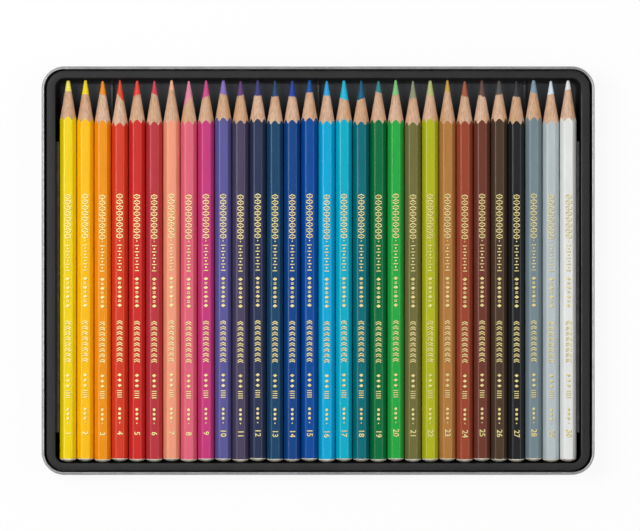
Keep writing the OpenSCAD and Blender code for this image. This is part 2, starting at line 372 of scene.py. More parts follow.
def makeLacquer(name, colour):
    # a rub leaves three quarters of the colour over what shows of the pale ground coat; on the pencils'
    # corners the same pale mix is partly wear and partly painted highlight lines
    ground = (0.2, 0.19, 0.17)
    rubbedAndLit = [0.75 * part + pale for part, pale in zip(colour, ground)]
    look = {
        "dark": scaled(colour, 0.94), "light": scaled(colour, 1.04),
        "rubbedAndLit": (*rubbedAndLit, 1.0), "dust": linear(225, 220, 210),
    }
    material, tree, shader = startMaterial(name, {
        "Roughness": 0.32, "Specular IOR Level": 0.24, "Coat Weight": 0.1, "Coat Roughness": 0.16})
    base = mottle(tree, addMist(tree, 500.0, 60.0, 4.0), look["dark"], look["light"])
    # pale on the corners: partly wear, partly painted highlight lines
    wearAndHighlight = placeGroup(tree, rubAndHighlightEdge, {"Patches": 700.0, "Reach": 0.52})
    faint = setRange(tree, wearAndHighlight, "Mask", 0.0, 0.14)
    edge = mixColour(tree, faint, "Result", base, look["rubbedAndLit"])
    specks = placeGroup(tree, dust, {"Scale": 800.0, "Size": 0.08, "Amount": 0.05})
    light = setRange(tree, specks, "Mask", 0.0, 0.35)
    dusty = mixColour(tree, light, "Result", edge, look["dust"])
    wire(tree, *dusty, shader, "Base Color")
    lines = placeGroup(tree, hairlines, {"Scale": 500.0, "Stretch": 0.03, "Turn": 0.1, "Width": 0.02})
    setRoughness(tree, shader, lines, 0.3, 0.5, (0.0, 1.0))
    addBump(tree, shader, addMist(tree, 1500.0, 900.0, 2.0), 0.12, 0.05)
    return material


def makeWood():
    look = {
        "pale": linear(222, 188, 163), "dark": linear(204, 156, 113), "streak": linear(160, 118, 88),
        "primer": linear(214, 188, 160),
    }
    material, tree, shader = startMaterial("cedarWood", {"Roughness": 0.62, "Specular IOR Level": 0.3})
    base = mottle(tree, addMist(tree, 105.0, 15.0, 2.0), look["dark"], look["pale"], (0.32, 0.68))
    thin = addMist(tree, 2200.0, 95.0, 3.0)
    streak = setRange(tree, thin, "Mask", 0.0, 0.6, 0.44, 0.66)
    grained = mixColour(tree, streak, "Result", base, look["streak"])
    # a trace of the pale ground coat just beside the lacquer
    fromPaint = addNode(tree, "Attribute", attribute_name="fromPaint")
    band = setRange(tree, fromPaint, "Fac", 0.35, 0.0, 0.05, 0.22)
    bared = mixColour(tree, band, "Result", grained, look["primer"])
    wire(tree, *bared, shader, "Base Color")
    addBump(tree, shader, thin, 0.35, 0.06)
    return material


def makeCore(name, colour):
    material, tree, shader = startMaterial(name, {"Roughness": 0.55, "Specular IOR Level": 0.35})
    # rings that the cutter leaves, fine along the pencil and broken across it
    rings = addMist(tree, 500.0, 4200.0, 3.0)
    base = mottle(tree, rings, scaled(colour, 0.85), scaled(colour, 1.08))
    wire(tree, *base, shader, "Base Color")
    addBump(tree, shader, rings, 0.3, 0.06)
    return material


def makeCapLacquer():
    look = {"colour": linear(226, 221, 206), "deep": linear(206, 198, 180)}
    material, tree, shader = startMaterial("creamCap", {
        "Roughness": 0.3, "Coat Weight": 0.3, "Coat Roughness": 0.2})
    cloud = addMist(tree, 400.0, 400.0, 3.0)
    base = mottle(tree, cloud, look["deep"], look["colour"])
    wire(tree, *base, shader, "Base Color")
    addBump(tree, shader, cloud, 0.1, 0.05)
    return material


def makeFoil():
    look = {"colour": linear(253, 241, 174), "deep": linear(230, 204, 126)}
    material, tree, shader = startMaterial("goldFoil", {"Metallic": 0.6, "Roughness": 0.42})
    cloud = addMist(tree, 2200.0, 2200.0, 3.0)
    base = mottle(tree, cloud, look["deep"], look["colour"], (0.35, 0.65))
    wire(tree, *base, shader, "Base Color")
    setRoughness(tree, shader, cloud, 0.35, 0.55)
    return material


tinplate = makeTinplate()
trayPlastic = makeTrayPlastic()
cedarWood = makeWood()
creamCap = makeCapLacquer()
goldFoil = makeFoil()
print("materials ready")


# The base and the lid are one section each, carried round a rounded rectangle

tin = {
    "halfX": 126.24, "halfY": 93.05, "corner": 9.75,   # outer face of the base's wall
    "plate": 0.3, "bottomRadius": 1.2,
    "flatRings": (8.0, 3.0),                           # on the flat bottom, this far inside the wall
    "hemThick": 0.8, "hemHeight": 2.0,
    "beadRadius": 0.75, "beadZ": 7.45,
    "notchHalf": 14.0, "notchFade": 1.0,
    "baseZ": 0.3, "rimZ": 14.6,
    "lidFit": 0.15, "lidTop": 6.4, "lidHem": 2.0, "lidFold": 0.3,
}


def arc(centreX, centreZ, radius, fromAngle, toAngle, steps):
    # Centre + radius x (cosine, sine) of evenly spaced angles
    angle = np.radians(np.linspace(fromAngle, toAngle, steps + 1))
    return np.stack([centreX + radius * np.cos(angle), centreZ + radius * np.sin(angle)], axis=1)


def flatRings(z):
    return [[-inside, z] for inside in tin["flatRings"]]


def joinSection(pieces, bead=None):
    # Points of a section, how rubbed each is, and which of them belong to the stop bead
    points = np.concatenate([np.asarray(p, float) for p, _ in pieces])
    rubAndHighlight = np.concatenate([np.full(len(p), w, float) for p, w in pieces])
    isBead = np.concatenate([np.full(len(p), p is bead, bool) for p, _ in pieces])
    return points, rubAndHighlight, isBead


def baseSection():
    # Section through the wall from the underside round the folded rim to the inner floor.
    # Each piece: points as (distance out of the wall's outer face, height), and how rubbed it is.
    t = tin["plate"]
    low = tin["baseZ"]
    r = tin["bottomRadius"]
    fold = tin["hemThick"] / 2
    top = tin["rimZ"]
    inner = top - tin["hemHeight"]
    bead = arc(0, tin["beadZ"], tin["beadRadius"], -90, 90, 12)
    return joinSection([
        (flatRings(low), 0),
        (arc(-r, low + r, r, -90, 0, 6), 0.3),
        ([[0, low + 3]], 0),
        (bead, 0.75),
        ([[0, top - 3], [0, top - 1.2]], 0.2),
        (arc(-fold, top - fold, fold, 0, 180, 12), 1),
        ([[-2 * fold, top - 1.2], [-2 * fold, inner + 0.2]], 0.3),
        (arc(-2 * fold + 0.15, inner + 0.15, 0.15, 180, 270, 3), 0.3),
        ([[-t - 0.05, inner + 0.02], [-t, inner - 0.1], [-t, low + r + 1]], 0),
        (arc(-r, low + r, r - t, 0, -90, 5), 0),
        (flatRings(low + t)[::-1], 0),
    ], bead)


def lidSection():
    # The same through the upturned lid: outer face of the skirt at 0, fold outside its edge
    t = tin["plate"]
    r = tin["bottomRadius"]
    top = tin["lidTop"]
    hem = top - tin["lidHem"]
    fold = tin["lidFold"]
    return joinSection([
        (flatRings(0), 0),
        (arc(-r, r, r, -90, 0, 6), 0.6),
        ([[0, hem - 0.4], [0.03, hem - 0.02]], 0.1),
        (arc(t - 0.12, hem + 0.12, 0.12, -90, 0, 3), 0.5),
        ([[t, top - 0.4]], 0.3),
        (arc(t - fold, top - fold, fold, 0, 90, 5), 0.9),
        (arc(t - fold, top - fold, fold, 90, 180, 5), 0.9),
        ([[-t, top - 0.8], [-t, r + 1]], 0),
        (arc(-r, r, r - t, 0, -90, 5), 0),
        (flatRings(t)[::-1], 0),
    ])


def carrySection(name, section, grow):
    # Point = core of the rounded rectangle + (corner radius + distance out) x outward
    # direction, at the section's height. The bead's distance fades to 0 along the thumb notch.
    halfX = tin["halfX"] + grow
    halfY = tin["halfY"] + grow
    corner = tin["corner"] + grow
    ramp = np.linspace(0, tin["notchFade"], 5)
    notch = tin["notchHalf"] + ramp
    side = np.array([0.5, 0.9]) * (halfX - corner)
    xs = np.concatenate([-side[::-1], -notch[::-1], [0], notch, side])
    ys = np.linspace(-0.9, 0.9, 5) * (halfY - corner)
    path = roundedPath(xs, ys, 16)
    count = len(path["normal"])
    fromMiddle = np.abs(path["fixed"][:, 0])
    onBack = (path["signs"][:, 1] > 0) & ~np.isnan(fromMiddle)
    fade = np.clip((fromMiddle - tin["notchHalf"]) / tin["notchFade"], 0, 1)
    keep = np.where(onBack, fade * fade * (3 - 2 * fade), 1.0)
    verts = []
    rubAndHighlightValues = []
    for (out, z), wearAndHighlight, bead in zip(*section):
        distance = out * keep if bead else np.full(count, out)
        ring = ringAt(path, halfX + distance, halfY + distance, corner + distance)
        verts.append(np.column_stack([ring, np.full(count, z)]))
        rubAndHighlightValues.append(np.full(count, wearAndHighlight))
    rows = len(verts)
    faces = gridFaces(rows, count, True)[:, ::-1].tolist()
    faces.append(list(range(count))[::-1])                            # underside
    faces.append(list(range((rows - 1) * count, rows * count)))       # inner floor
    floats = {"rubAndHighlight": np.concatenate(rubAndHighlightValues)}
    return makePiece(name, np.concatenate(verts), faces, [tinplate], floats=floats)


baseShell = carrySection("base_shell", baseSection(), 0)
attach(baseShell, "tin_base")
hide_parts("tin_base")

lidShell = carrySection("lid_shell", lidSection(), tin["lidFit"] + tin["plate"])
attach(lidShell, "lid")
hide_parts("lid")
print("tin base and lid made")


# The tray is a set of rings round the well, closed by a grid over the bed and the floor

tray = {
    "halfX": 120.54, "halfY": 88.25, "corner": 4.3,               # the well, at the flange
    "flangeX": 124.34, "flangeY": 91.5, "flangeCorner": 8.2,
    "flangeZ": 13.4, "bedZ": 6.1, "floorZ": 1.1,
    "lipRadius": 0.55,                                            # rounded edge into the well
    "grooveDepth": 1.6,                                           # beside the ledge at the right
    "bedBack": 59.25, "bedFront": -74.25,
    "sheet": 0.5,
    "ridgeHeight": 1.5, "ridgeFull": 1.2, "ridgeGone": 0.35,      # the last two: from an end of the bed
    "dividerHeight": 3.2, "dividersAfter": (3, 15, 27),
    "pitch": 7.9074, "count": 30,
    "arcSteps": 12, "gridInset": 3.1, "gridCorner": 1.9,          # the grid that fills the rings
    "gridRows": (-80, -76, -70, -40, 0, 40, 62, 70, 78),
    # how strongly the lip (more on the right), the ledge's inner edge and the dividers' tops are
    # lightened as painted highlight
    "lipHighlight": 0.55, "lipHighlightRight": 0.85, "ledgeHighlight": 1.2, "dividerHighlight": 2.2,
    # rows of points that get the painted highlight (of the lip, of the ledge) or are sunk to the groove
    "lipRows": (2, 3, 4), "ledgeRows": (5, 6), "grooveRows": (2, 3),
    # the wells' floor is painted lighter as sheen of the light from above; this fades out between these
    # heights
    "floorSheenFade": (0.2, 2.4),                                      # fades out between these heights
}
# outer edge of the flange: distance inwards, and distance below its top
flangeSection = [(0, 0.16), (0.05, 0.05), (0.16, 0)]
# distance inwards from the edge of the well, and height, where the wall goes down to the floor
wellSection = np.array([
    [0.02, 12.6], [0.06, 9.5], [0.12, 6.1], [0.2, 5.65], [0.42, 5.1], [1.1, 3.5], [1.95, 1.6],
    [2.12, 1.3], [2.35, 1.14], [2.7, 1.1],
])
# the same where it goes down to a ledge and from there to the bed
ledgeSection = np.array([
    [0.03, 12.6], [0.06, 10.75], [0.1, 10.45], [0.28, 10.42], [0.38, 10.4], [1.56, 10.4], [1.7, 10.2],
    [1.76, 6.5], [1.91, 6.2], [2.26, 6.1],
])
# a ridge and a divider: distance from the middle, and share of the height
ridgeSection = np.array([[0.6, 1], [0.8, 0.93], [1.5, 0.07], [1.75, 0]])
dividerSection = np.array([[0.4, 1], [0.46, 0.97], [0.5, 0.05], [0.58, 0]])
# rounded end of the bed: distance past its edge, and share of its height that is left
bedEnd = np.array([
    [-0.6, 1], [-0.35, 1], [-0.175, 0.9906], [-0.047, 0.965], [0, 0.93], [0.06, 0.07], [0.13, 0.035],
    [0.22, 0.0094], [0.4, 0],
])


def gapX(after):
    # Middle of the gap after the pencil with this number
    return (np.asarray(after) - tray["count"] / 2) * tray["pitch"]


def pastBed(y):
    return np.maximum(y - tray["bedBack"], tray["bedFront"] - y)


def bedShare(y):
    # 1 over the bed, 0 past its two ends, with the rounded end read off bedEnd between them
    return np.interp(pastBed(y), bedEnd[:, 0], bedEnd[:, 1])


def ridgeRise(x, y):
    # Rounded ridge between two pencils, sunk at the ends of the bed
    nearest = np.round(x / tray["pitch"])
    inRow = np.abs(nearest) < tray["count"] / 2
    shape = np.interp(np.abs(x - nearest * tray["pitch"]), ridgeSection[:, 0], ridgeSection[:, 1])
    ends = np.interp(pastBed(y), [-tray["ridgeFull"], -tray["ridgeGone"]], [1, 0])
    return np.where(inRow, shape * ends * tray["ridgeHeight"], 0)


def dividerRise(x, y):
    # Upright dividers on the floor of the tip well
    across = np.abs(np.asarray(x)[..., None] - gapX(tray["dividersAfter"])).min(axis=-1)
    shape = np.interp(across, dividerSection[:, 0], dividerSection[:, 1])
    return np.where(y > tray["bedBack"], shape * tray["dividerHeight"], 0)


def columnsAt(middles, section):
    # The columns of points that a ridge or a divider needs at each of its places
    across = np.concatenate([-section[::-1, 0], section[:, 0]])
    return (middles[:, None] + across).ravel()


def makeTray():
    half = tray["arcSteps"] // 2
    xs = np.sort(np.concatenate([
        columnsAt(gapX(np.arange(1, tray["count"])), ridgeSection),
        columnsAt(gapX(tray["dividersAfter"]), dividerSection)]))
    ys = np.sort(np.concatenate([
        tray["bedBack"] + bedEnd[:, 0], tray["bedFront"] - bedEnd[:, 0], tray["gridRows"],
        [tray["bedBack"] - tray["ridgeFull"], tray["bedFront"] + tray["ridgeFull"]]]))
    path = roundedPath(xs, ys, tray["arcSteps"])
    count = len(path["normal"])
    sideY = path["fixed"][:, 1]
    onSide = ~np.isnan(sideY)
    share = np.where(onSide, bedShare(np.nan_to_num(sideY)), 0)
    onRight = (onSide & (path["signs"][:, 0] > 0)).astype(float)
    verts = []
    rubAndHighlightValues = []

    def wellRing(inset):
        return ringAt(path, tray["halfX"] - inset, tray["halfY"] - inset, tray["corner"] - inset)

    def addRing(ring, z, wearAndHighlight):
        verts.append(np.column_stack([ring, np.broadcast_to(z, count)]))
        rubAndHighlightValues.append(np.broadcast_to(wearAndHighlight, count))

    flange = np.array([tray["flangeX"], tray["flangeY"], tray["flangeCorner"]])
    for inset, drop in flangeSection:
        addRing(ringAt(path, *(flange - inset)), tray["flangeZ"] - drop, 0)
    radius = tray["lipRadius"]
    # painted highlight along the lip, stronger on the right side
    lipHighlight = tray["lipHighlight"] + tray["lipHighlightRight"] * onRight
    for step, (inset, z) in enumerate(arc(-radius, tray["flangeZ"] - radius, radius, 90, 0, 5)):
        addRing(wellRing(inset), z, lipHighlight if step in tray["lipRows"] else 0)
    for step, ((wellIn, wellZ), (ledgeIn, ledgeZ)) in enumerate(zip(wellSection, ledgeSection)):
        ring = wellRing(wellIn + (ledgeIn - wellIn) * share)
        sunk = tray["grooveDepth"] * onRight if step in tray["grooveRows"] else 0
        z = wellZ + (ledgeZ - sunk - wellZ) * share
        z = np.maximum(z, tray["floorZ"] + dividerRise(ring[:, 0], ring[:, 1]))
        # painted highlight on the ledge's inner edge
        addRing(ring, z, share * (tray["ledgeHighlight"] if step in tray["ledgeRows"] else 0))
    rings = len(verts)
    # height of the inner grid: floor, then bed, ridges and dividers on it
    fromWall = tray["gridInset"] + np.linspace(tray["gridCorner"], 0, half + 1)
    cornerX = tray["halfX"] - fromWall
    cornerY = tray["halfY"] - fromWall
    gridX = np.concatenate([-cornerX[::-1], xs, cornerX])
    gridY = np.concatenate([-cornerY[::-1], ys, cornerY])
    x, y = np.meshgrid(gridX, gridY)
    dividers = dividerRise(x, y)
    z = tray["floorZ"] + (tray["bedZ"] - tray["floorZ"]) * bedShare(y) + ridgeRise(x, y) + dividers
    verts.append(np.stack([x, y, z], axis=-1).reshape(-1, 3))
    # painted highlight on the dividers, strongest at their tops
    rubAndHighlightValues.append(tray["dividerHighlight"] * dividers.ravel() / tray["dividerHeight"])
    start = rings * count
    inner = start + np.arange(x.size).reshape(x.shape)
    # the grid's own edge, walked the same way round as the rings and from the same place
    walk = np.concatenate([inner[0, :-1], inner[:-1, -1], inner[-1, :0:-1], inner[:0:-1, 0]])
    number = np.vstack([np.arange(start).reshape(rings, count), np.roll(walk, -half - 1)])
    after = np.roll(number, -1, axis=1)
    ringQuads = np.stack([number[:-1], after[:-1], after[1:], number[1:]], axis=-1).reshape(-1, 4)
    gridQuads = gridFaces(*x.shape, False)[:, ::-1] + start
    faces = np.concatenate([ringQuads, gridQuads]).tolist()
    allVerts = np.concatenate(verts)
    # 1 on the floor of the wells, where the plastic is painted lighter as sheen of the light from
    # above, fading out up their walls and over the dividers
    wellFloorSheen = np.interp(allVerts[:, 2] - tray["floorZ"], tray["floorSheenFade"], [1, 0])
    floats = {"rubAndHighlight": np.concatenate(rubAndHighlightValues), "wellFloorSheen": wellFloorSheen}
    piece = makePiece("formed_tray", allVerts, faces, [trayPlastic], floats=floats)
    wall = piece.modifiers.new("sheet", "SOLIDIFY")
    wall.thickness = tray["sheet"] * mm
    wall.offset = -1
    return piece


formedTray = makeTray()
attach(formedTray, "tray")
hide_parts("tray")
print("tray made:", len(formedTray.data.polygons), "faces")


pencil = {
    "flats": 6.9, "cornerRound": 1.03, "length": 175.0,
    "capHeight": 1.4, "capEdge": 1.5, "capLap": 0.02,
    "capEnds": (0.05, 0.15, 0.17, 0.2),                               # its last rows, past the dome
    "pointAngle": 19.3, "sharpTip": 0.35, "bluntTip": 0.85, "chipped": 0.7,
    "scallop": 0.72,                                                  # of the lacquer's edge
    # small unevenness of the cap's line, the lacquer's edge and the core's edge
    "capWave": 0.05, "capShift": 0.06, "edgeChips": 0.05, "edgeWave": 0.1, "coreWave": 0.16,
    # rows of points, as shares of the part that they cover, and angles on the round tip
    "capRows": (0.18, 0.36, 0.54, 0.7, 0.83, 0.92, 0.975),
    "lacquerRows": (0.02, 0.25, 0.5, 0.75, 0.98),
    "woodRows": (0.0, 0.04, 0.12, 0.28, 0.46, 0.64, 0.82, 0.94, 1.0),
    "coreRows": (0.08, 0.3, 0.55, 0.8, 1.0),
    "tipAngles": (30, 50, 68, 80),
    "foilLift": 0.02, "foilThick": 0.03,
    # the foil's marks once more, a little aside and in darkened lacquer: painted shade for the edge of
    # the pressed dent
    "dentShadeSide": 0.17, "dentShadeDown": 0.12, "dentShadeSink": 0.012, "dentShadeFactor": 0.18,
    "numberSize": 3.6, "numberBold": 0.045, "numberY": 13.2,
    "firstSeed": 300,
}
capSlot, lacquerSlot, woodSlot, coreSlot, foilSlot, dentShadeSlot = range(6)
# lacquer and core, as 0-255 screen colours
colours = {
    "lemon_yellow": [(237, 208, 2), (252, 233, 99)],
    "golden_yellow": [(247, 187, 2), (252, 218, 2)],
    "orange": [(234, 144, 5), (241, 143, 13)],
    "vermilion": [(209, 57, 32), (232, 73, 40)],
    "scarlet": [(202, 41, 35), (239, 66, 52)],
    "carmine": [(182, 50, 58), (211, 64, 81)],
    "salmon": [(235, 152, 121), (251, 181, 143)],
    "pink": [(220, 98, 120), (228, 137, 162)],
    "magenta": [(195, 56, 120), (206, 74, 135)],
    "violet": [(90, 86, 149), (132, 113, 185)],
    "plum": [(74, 66, 93), (99, 60, 117)],
    "navy": [(44, 52, 82), (61, 59, 121)],
    "prussian_blue": [(22, 68, 102), (36, 68, 111)],
    "ultramarine": [(12, 66, 133), (31, 63, 155)],
    "blue": [(2, 74, 152), (13, 81, 159)],
    "azure": [(2, 166, 211), (44, 164, 224)],
    "turquoise": [(2, 171, 195), (19, 184, 216)],
    "teal": [(2, 106, 116), (3, 93, 127)],
    "dark_green": [(2, 109, 59), (44, 133, 140)],
    "green": [(38, 165, 65), (132, 199, 129)],
    "olive": [(110, 107, 57), (146, 150, 118)],
    "lime": [(175, 179, 28), (184, 193, 122)],
    "ochre": [(175, 120, 61), (210, 167, 68)],
    "russet": [(154, 69, 45), (169, 89, 60)],
    "red_brown": [(109, 57, 45), (102, 72, 64)],
    "umber": [(75, 57, 42), (86, 83, 78)],
    "black": [(34, 35, 37), (52, 52, 55)],
    "grey": [(118, 135, 142), (136, 157, 173)],
    "silver_grey": [(182, 192, 195), (221, 235, 246)],
    "white": [(227, 228, 226), (240, 240, 238)],
}


# For each pencil, in mm from the point along its top face: where the bare core ends, where the
# bare wood ends, and how much longer the core shows on its right side than in the middle
pointWork = [
    (5.0, 16.6, 0.0), (6.5, 17.8, -0.3), (6.4, 18.0, 0.3), (7.9, 19.6, 2.0), (6.7, 18.0, -0.4),
    (6.2, 18.8, 0.7), (4.9, 18.3, 0.0), (8.8, 18.4, -2.6), (7.6, 18.4, -0.8), (6.5, 17.2, 0.3),
    (6.7, 18.1, -0.5), (7.3, 17.9, 0.0), (7.3, 18.4, 0.0), (7.3, 18.0, 0.1), (5.8, 17.4, 0.0),
    (6.7, 18.3, 0.0), (8.8, 17.9, 0.6), (8.7, 18.9, -0.7), (5.4, 17.9, 0.6), (6.9, 18.4, -0.2),
    (8.1, 19.0, -0.2), (6.9, 17.5, 0.1), (5.5, 18.7, 0.5), (7.1, 18.3, 0.5), (7.5, 18.4, 0.6),
    (6.4, 17.5, -0.3), (7.3, 18.4, 0.2), (6.0, 17.1, 0.6), (6.2, 18.4, -0.3), (4.4, 17.1, -0.5),
]


apothem = pencil["flats"] / 2
# where a side's straight part ends, as an angle from the middle of the side
flatEnd = math.atan((apothem - pencil["cornerRound"]) * math.tan(math.pi / 6) / apothem)


def hexagonAngles():
    # Angles round the pencil: six steps over each flat side, six over each rounded corner
    flat = np.linspace(-flatEnd, flatEnd, 7)
    bend = np.linspace(flatEnd, math.pi / 3 - flatEnd, 7)[1:-1]
    side = np.concatenate([flat, bend])
    return (np.arange(6)[:, None] * math.pi / 3 + side[None, :] + math.pi / 6).ravel()


def hexagonRadius(angle):
    # Distance from the axis to a hexagon with rounded corners: straight sides give the
    # apothem divided by the cosine, the corners the far crossing with a small circle.
    r = pencil["cornerRound"]
    turn = np.abs((angle % (math.pi / 3)) - math.pi / 6)
    centre = (apothem - r) / math.cos(math.pi / 6)
    off = math.pi / 6 - turn
    rounded = centre * np.cos(off) + np.sqrt(np.maximum(r * r - (centre * np.sin(off)) ** 2, 0))
    return np.where(turn <= flatEnd + 1e-9, apothem / np.cos(turn), rounded)


def pencilSurface(seed, coreEnd, woodEnd, slant):
    # A point lies at an angle round the axis and a distance along it. Its radius is the
    # rounded hexagon's, limited by the dome at the cap and by the cone at the sharpened end.
    random = np.random.default_rng(seed)
    length = pencil["length"]
    angle = hexagonAngles()
    columns = len(angle)
    full = hexagonRadius(angle)
    reach = full.max()
    half = math.radians(pencil["pointAngle"] / 2)
    slope = math.tan(half)
    # the blunter the tip, the shorter the cone; the lacquer is chipped back a little from its start
    tip = (apothem / slope - woodEnd + pencil["chipped"]) / (1 / math.sin(half) - 1)
    tip = min(max(tip, pencil["sharpTip"]), pencil["bluntTip"])
    apex = length - tip + tip / math.sin(half)
    rough = random.normal(0, 1, columns)
    soft = np.convolve(np.tile(random.normal(0, 1, columns), 3), np.ones(7) / 7, "same")
    soft = soft[columns:2 * columns]
    # 1 at the corners, where the pale rubbed mix goes: partly wear, partly painted highlight lines
    corner = np.clip((full - full.min()) / (reach - full.min()), 0, 1) ** 3
    rows = []

    def addRow(along, radius, slot, sharp=False, rubAndHighlight=0):
        # slot is that of the faces before the row
        rows.append((along, radius, slot, sharp, rubAndHighlight))

    dome = (reach ** 2 + pencil["capHeight"] ** 2) / (2 * pencil["capHeight"])
    for share in pencil["capRows"]:
        radius = full * share
        addRow(dome - np.sqrt(dome ** 2 - radius ** 2), radius, capSlot)
    edge = dome - np.sqrt(dome ** 2 - full ** 2)
    lapStart, lapFull, lapEnd, lacquerFrom = (edge + past for past in pencil["capEnds"])
    addRow(lapStart, full + pencil["capLap"] / 2, capSlot)
    addRow(lapFull, full + pencil["capLap"], capSlot)
    capLine = pencil["capEdge"] + pencil["capWave"] * soft + pencil["capShift"] * random.normal()
    lacquerStart = np.maximum(capLine, lacquerFrom)
    addRow(np.maximum(capLine - 0.03, lapEnd), full + pencil["capLap"], capSlot)
    addRow(lacquerStart, full, capSlot, True, corner)
    coneStart = apex - full / slope
    back = max(woodEnd - (length - coneStart.max()), 0.1)
    fall = coneStart.max() - coneStart          # 0 in the middle of a face, most at a corner
    border = np.minimum(coneStart.max() - back - pencil["scallop"] * fall, coneStart - 0.03)
    border = border - pencil["edgeChips"] * np.abs(rough) - pencil["edgeWave"] * np.abs(soft)
    for share in pencil["lacquerRows"]:
        addRow(lacquerStart + (border - lacquerStart) * share, full, lacquerSlot, rubAndHighlight=corner)
    addRow(border, full, lacquerSlot, True, corner)
    # from the lacquer's edge the cutter's cone carries on; angle 0 is the pencil's right side
    lead = length - coreEnd - slant * np.cos(angle) + pencil["coreWave"] * (rough + soft)
    for share in pencil["woodRows"]:
        y = coneStart + (lead - coneStart) * share
        addRow(y, (apex - y) * slope, woodSlot, share in (0, 1))
    bluntStart = length - tip + tip * math.sin(half)
    for share in pencil["coreRows"]:
        y = lead + (bluntStart - lead) * share
        addRow(y, (apex - y) * slope, coreSlot)
    for lift in np.radians(pencil["tipAngles"]):
        addRow(length - tip * (1 - math.sin(lift)), tip * math.cos(lift), coreSlot)
    along, radius, rubAndHighlight = (np.stack([np.broadcast_to(r[k], columns) for r in rows]) for k in (0, 1, 4))
    sharp = np.stack([np.full(columns, k if r[3] else 0) for k, r in enumerate(rows)])
    verts = np.stack([radius * np.cos(angle), along, radius * np.sin(angle)], axis=-1).reshape(-1, 3)
    first = len(verts)                          # then the middles of the cap and of the tip
    verts = np.concatenate([verts, [[0, 0, 0], [0, length, 0]]])
    around = np.arange(columns)
    after = (around + 1) % columns
    lastRow = (len(rows) - 1) * columns
    capFan = np.stack([np.full(columns, first), around, after], axis=-1)
    tipFan = np.stack([np.full(columns, first + 1), lastRow + after, lastRow + around], axis=-1)
    faces = gridFaces(len(rows), columns, True).tolist() + capFan.tolist() + tipFan.tolist()
    slots = np.repeat([r[2] for r in rows[1:]] + [capSlot, coreSlot], columns)
    floats = {
        "fromPaint": np.concatenate([np.maximum(along - border, 0).ravel(), [0, woodEnd]]),
        "rubAndHighlight": np.concatenate([rubAndHighlight.ravel(), [0, 0]]),
    }
    return verts, faces, slots, np.concatenate([sharp.ravel(), [0, 0]]), floats


# Plain ornaments, each an outline one unit wide and one long; strokes are drawn as chevrons and bars
foilShapes = {
    "diamond": [[0, -0.5], [0.5, 0], [0, 0.5], [-0.5, 0]],
    "bar": [[-0.5, -0.5], [0.5, -0.5], [0.5, 0.5], [-0.5, 0.5]],
    "chevron": [[-0.5, -0.5], [0, 0.1], [0.5, -0.5], [0.5, -0.1], [0, 0.5], [-0.5, -0.1]],
    "dot": [[math.cos(k * math.pi / 6) / 2, math.sin(k * math.pi / 6) / 2] for k in range(12)],
}


# shape, how many, distance of the first from the cap's end, step towards the cap,
# size across, size along
foilRows = [
    ("chevron", 8, 122.32, 2.61, 2.9, 1.15),       # a half of a hollow diamond, and the other half
    ("chevron", 8, 121.08, 2.61, 2.9, -1.15),      # turned round, as its size along is below 0
    ("dot", 8, 121.7, 2.61, 0.5, 0.5),
    ("dot", 1, 101.3, 0, 0.6, 0.6),
    ("bar", 5, 99.3, 2.88, 2.0, 0.4),
    ("diamond", 4, 97.86, 2.88, 1.1, 1.0),
    ("diamond", 4, 84.0, 4.1, 2.2, 1.6),
    ("bar", 3, 82.25, 4.1, 1.3, 0.35),
    ("bar", 3, 81.65, 4.1, 1.3, 0.35),
    ("chevron", 8, 64.3, 2.46, 2.6, 1.1),
    ("chevron", 8, 63.45, 2.46, 2.6, 1.1),
    ("diamond", 3, 39.8, 2.4, 2.0, 1.5),
    ("bar", 4, 32.6, 1.0, 2.2, 0.38),
    ("dot", 3, 24.2, 2.1, 1.3, 1.3),
    ("dot", 1, 17.9, 0, 0.6, 0.6),
]


def foilPrisms():
    # Each mark is its outline, drawn twice a foil's thickness apart and closed round the edge
    top = apothem + pencil["foilLift"]
    verts = []
    faces = []
    start = 0
    marks = [(row, k) for row in foilRows for k in range(row[1])]
    for (shape, _, along, step, sizeX, sizeY), k in marks:
        outline = np.array(foilShapes[shape]) * [sizeX, sizeY] + [0, along - step * k]
        if sizeY < 0:
            outline = outline[::-1]        # keeps the face outwards
        n = len(outline)
        verts.append(np.column_stack([outline, np.full(n, top)]))
        verts.append(np.column_stack([outline, np.full(n, top - pencil["foilThick"])]))
        ring = np.arange(n)
        after = (ring + 1) % n
        faces.append((start + ring).tolist())
        faces.append((start + n + ring[::-1]).tolist())
        sides = np.stack([start + ring, start + n + ring, start + n + after, start + after], axis=-1)
        faces.extend(sides.tolist())
        start += 2 * n
    return np.concatenate(verts), faces


def numberPrisms(text):
    # The pencil's plain place number in Blender's own typeface, read from the tip to the cap
    curve = bpy.data.curves.new("placeNumber", "FONT")
    curve.body = text
    curve.size = pencil["numberSize"]
    curve.offset = pencil["numberBold"]
    curve.extrude = pencil["foilThick"] / 2
    curve.align_x = "CENTER"
    curve.align_y = "CENTER"
    curve.resolution_u = 3
    carrier = bpy.data.objects.new("placeNumber", curve)
    bpy.context.scene.collection.objects.link(carrier)
    bpy.context.view_layer.update()
    flat = carrier.evaluated_get(bpy.context.evaluated_depsgraph_get()).to_mesh()
    verts = np.zeros(len(flat.vertices) * 3)
    flat.vertices.foreach_get("co", verts)
    verts = verts.reshape(-1, 3)
    faces = [list(face.vertices) for face in flat.polygons]
    bpy.data.objects.remove(carrier)
    bpy.data.curves.remove(curve)
    middleZ = apothem + pencil["foilLift"] - pencil["foilThick"] / 2
    placed = np.stack([verts[:, 1], pencil["numberY"] - verts[:, 0], verts[:, 2] + middleZ], axis=-1)
    return placed, faces


ornaments = foilPrisms()


